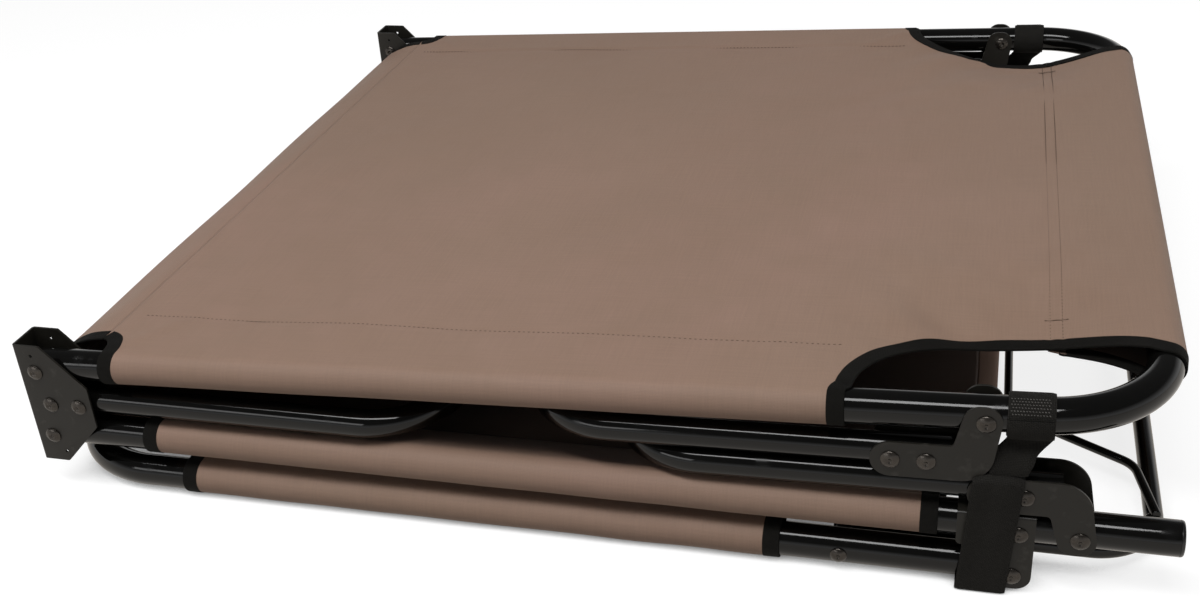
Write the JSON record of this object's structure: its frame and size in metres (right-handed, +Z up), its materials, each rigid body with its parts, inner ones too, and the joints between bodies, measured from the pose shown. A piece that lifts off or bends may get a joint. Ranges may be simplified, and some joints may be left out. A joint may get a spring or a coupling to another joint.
{
  "type": "folding camp bed",
  "caption": "Folded camp bed: round steel tube frames hinged at riveted channels, with sleeved canvas, U-shaped legs, a head prop and straps",
  "frame": {"origin": "on the floor, under the middle of the folded bed's bounding box", "axes": "+Z up; X along the bed, with the fold channels on the minus X side and the tube ends with caps on the plus X side; Y across the bed, which is symmetric about Y = 0"},
  "size_m": [0.7732, 0.6946, 0.1369],
  "materials": {
    "tube_black": "glossy black powder coat on round steel tube",
    "plate_black": "satin warm black coat on pressed steel plate",
    "rivet_steel": "dark domed rivets, slightly worn",
    "plastic_black": "black moulded plugs and spacers",
    "canvas_brown": "taupe-brown coated canvas, dull, with black bound edges",
    "webbing_black": "black woven webbing"
  },
  "bodies": {
    "middle_section": {"head_bracket_far": "plate_black", "head_bracket_near": "plate_black", "head_bracket_rivet_far_1": "rivet_steel", "head_bracket_rivet_far_2": "rivet_steel", "head_bracket_rivet_near_1": "rivet_steel", "head_bracket_rivet_near_2": "rivet_steel", "head_pivot_rivet_far": "rivet_steel", "head_pivot_rivet_near": "rivet_steel", "middle_canvas": "canvas_brown", "middle_tube_far": "tube_black", "middle_tube_near": "tube_black", "tube_cap_far": "plastic_black", "tube_cap_near": "plastic_black"},
    "fold_leg": {"canvas_fold_left": "canvas_brown", "fold_channel_far": "plate_black", "fold_channel_near": "plate_black", "fold_leg_rivet_far_1": "rivet_steel", "fold_leg_rivet_far_2": "rivet_steel", "fold_leg_rivet_near_1": "rivet_steel", "fold_leg_rivet_near_2": "rivet_steel", "fold_leg_tube": "tube_black", "foot_pivot_rivet_far": "rivet_steel", "foot_pivot_rivet_near": "rivet_steel", "middle_pivot_rivet_far": "rivet_steel", "middle_pivot_rivet_near": "rivet_steel"},
    "foot_section": {"carry_strap_far": "webbing_black", "carry_strap_near": "webbing_black", "foot_canvas": "canvas_brown", "foot_frame_tube": "tube_black"},
    "foot_leg": {"foot_leg_pivot_rivet_far": "rivet_steel", "foot_leg_pivot_rivet_near": "rivet_steel", "foot_leg_plate_far_inner": "plate_black", "foot_leg_plate_far_outer": "plate_black", "foot_leg_plate_near_inner": "plate_black", "foot_leg_plate_near_outer": "plate_black", "foot_leg_rivet_far_1": "rivet_steel", "foot_leg_rivet_far_2": "rivet_steel", "foot_leg_rivet_near_1": "rivet_steel", "foot_leg_rivet_near_2": "rivet_steel", "foot_leg_tube": "tube_black"},
    "head_leg": {"head_leg_pivot_rivet_far": "rivet_steel", "head_leg_pivot_rivet_near": "rivet_steel", "head_leg_plate_far_inner": "plate_black", "head_leg_plate_far_outer": "plate_black", "head_leg_plate_near_inner": "plate_black", "head_leg_plate_near_outer": "plate_black", "head_leg_rivet_far_1": "rivet_steel", "head_leg_rivet_far_2": "rivet_steel", "head_leg_rivet_near_1": "rivet_steel", "head_leg_rivet_near_2": "rivet_steel", "head_leg_tube": "tube_black"},
    "head_section": {"canvas_fold_right": "canvas_brown", "head_canvas": "canvas_brown", "head_frame_tube": "tube_black", "prop_rivet_far": "rivet_steel", "prop_rivet_near": "rivet_steel", "prop_spacer_far": "plastic_black", "prop_spacer_near": "plastic_black"},
    "head_prop": {"prop_bow": "tube_black", "prop_rung": "tube_black"}
  },
  "joints": [
    {"name": "fold_hinge", "type": "hinge", "parent": "middle_section", "child": "fold_leg", "pos_m": [-0.3647, 0, 0.0438], "axis": [0, -1, 0], "range_deg": [0, 90], "deforming": ["canvas_fold_left", "carry_strap_far", "carry_strap_near"]},
    {"name": "foot_hinge", "type": "hinge", "parent": "fold_leg", "child": "foot_section", "pos_m": [-0.3647, 0, 0.0959], "axis": [0, -1, 0], "range_deg": [0, 87.8]},
    {"name": "foot_leg_hinge", "type": "hinge", "parent": "foot_section", "child": "foot_leg", "pos_m": [0.26983, 0, 0.12032], "axis": [0, -1, 0], "range_deg": [0, 90.96]},
    {"name": "head_leg_hinge", "type": "hinge", "parent": "middle_section", "child": "head_leg", "pos_m": [0.3283, 0, 0.0438], "axis": [0, 1, 0], "range_deg": [0, 91.05]},
    {"name": "head_hinge", "type": "hinge", "parent": "middle_section", "child": "head_section", "pos_m": [0.2913, 0, 0.0125], "axis": [0, -1, 0], "range_deg": [0, 180], "deforming": ["canvas_fold_right"]},
    {"name": "prop_hinge", "type": "hinge", "parent": "head_section", "child": "head_prop", "pos_m": [0.1873, 0, 0.0125], "axis": [0, 1, 0], "range_deg": [0, 100]}
  ],
  "couplings": [
    {"joint": "foot_hinge", "follows": "fold_hinge", "ratio": 0.97551},
    {"joint": "foot_leg_hinge", "follows": "fold_hinge", "ratio": 1.0107},
    {"joint": "head_leg_hinge", "follows": "fold_hinge", "ratio": 1.0116},
    {"joint": "prop_hinge", "follows": "head_hinge", "ratio": 0.55556}
  ]
}
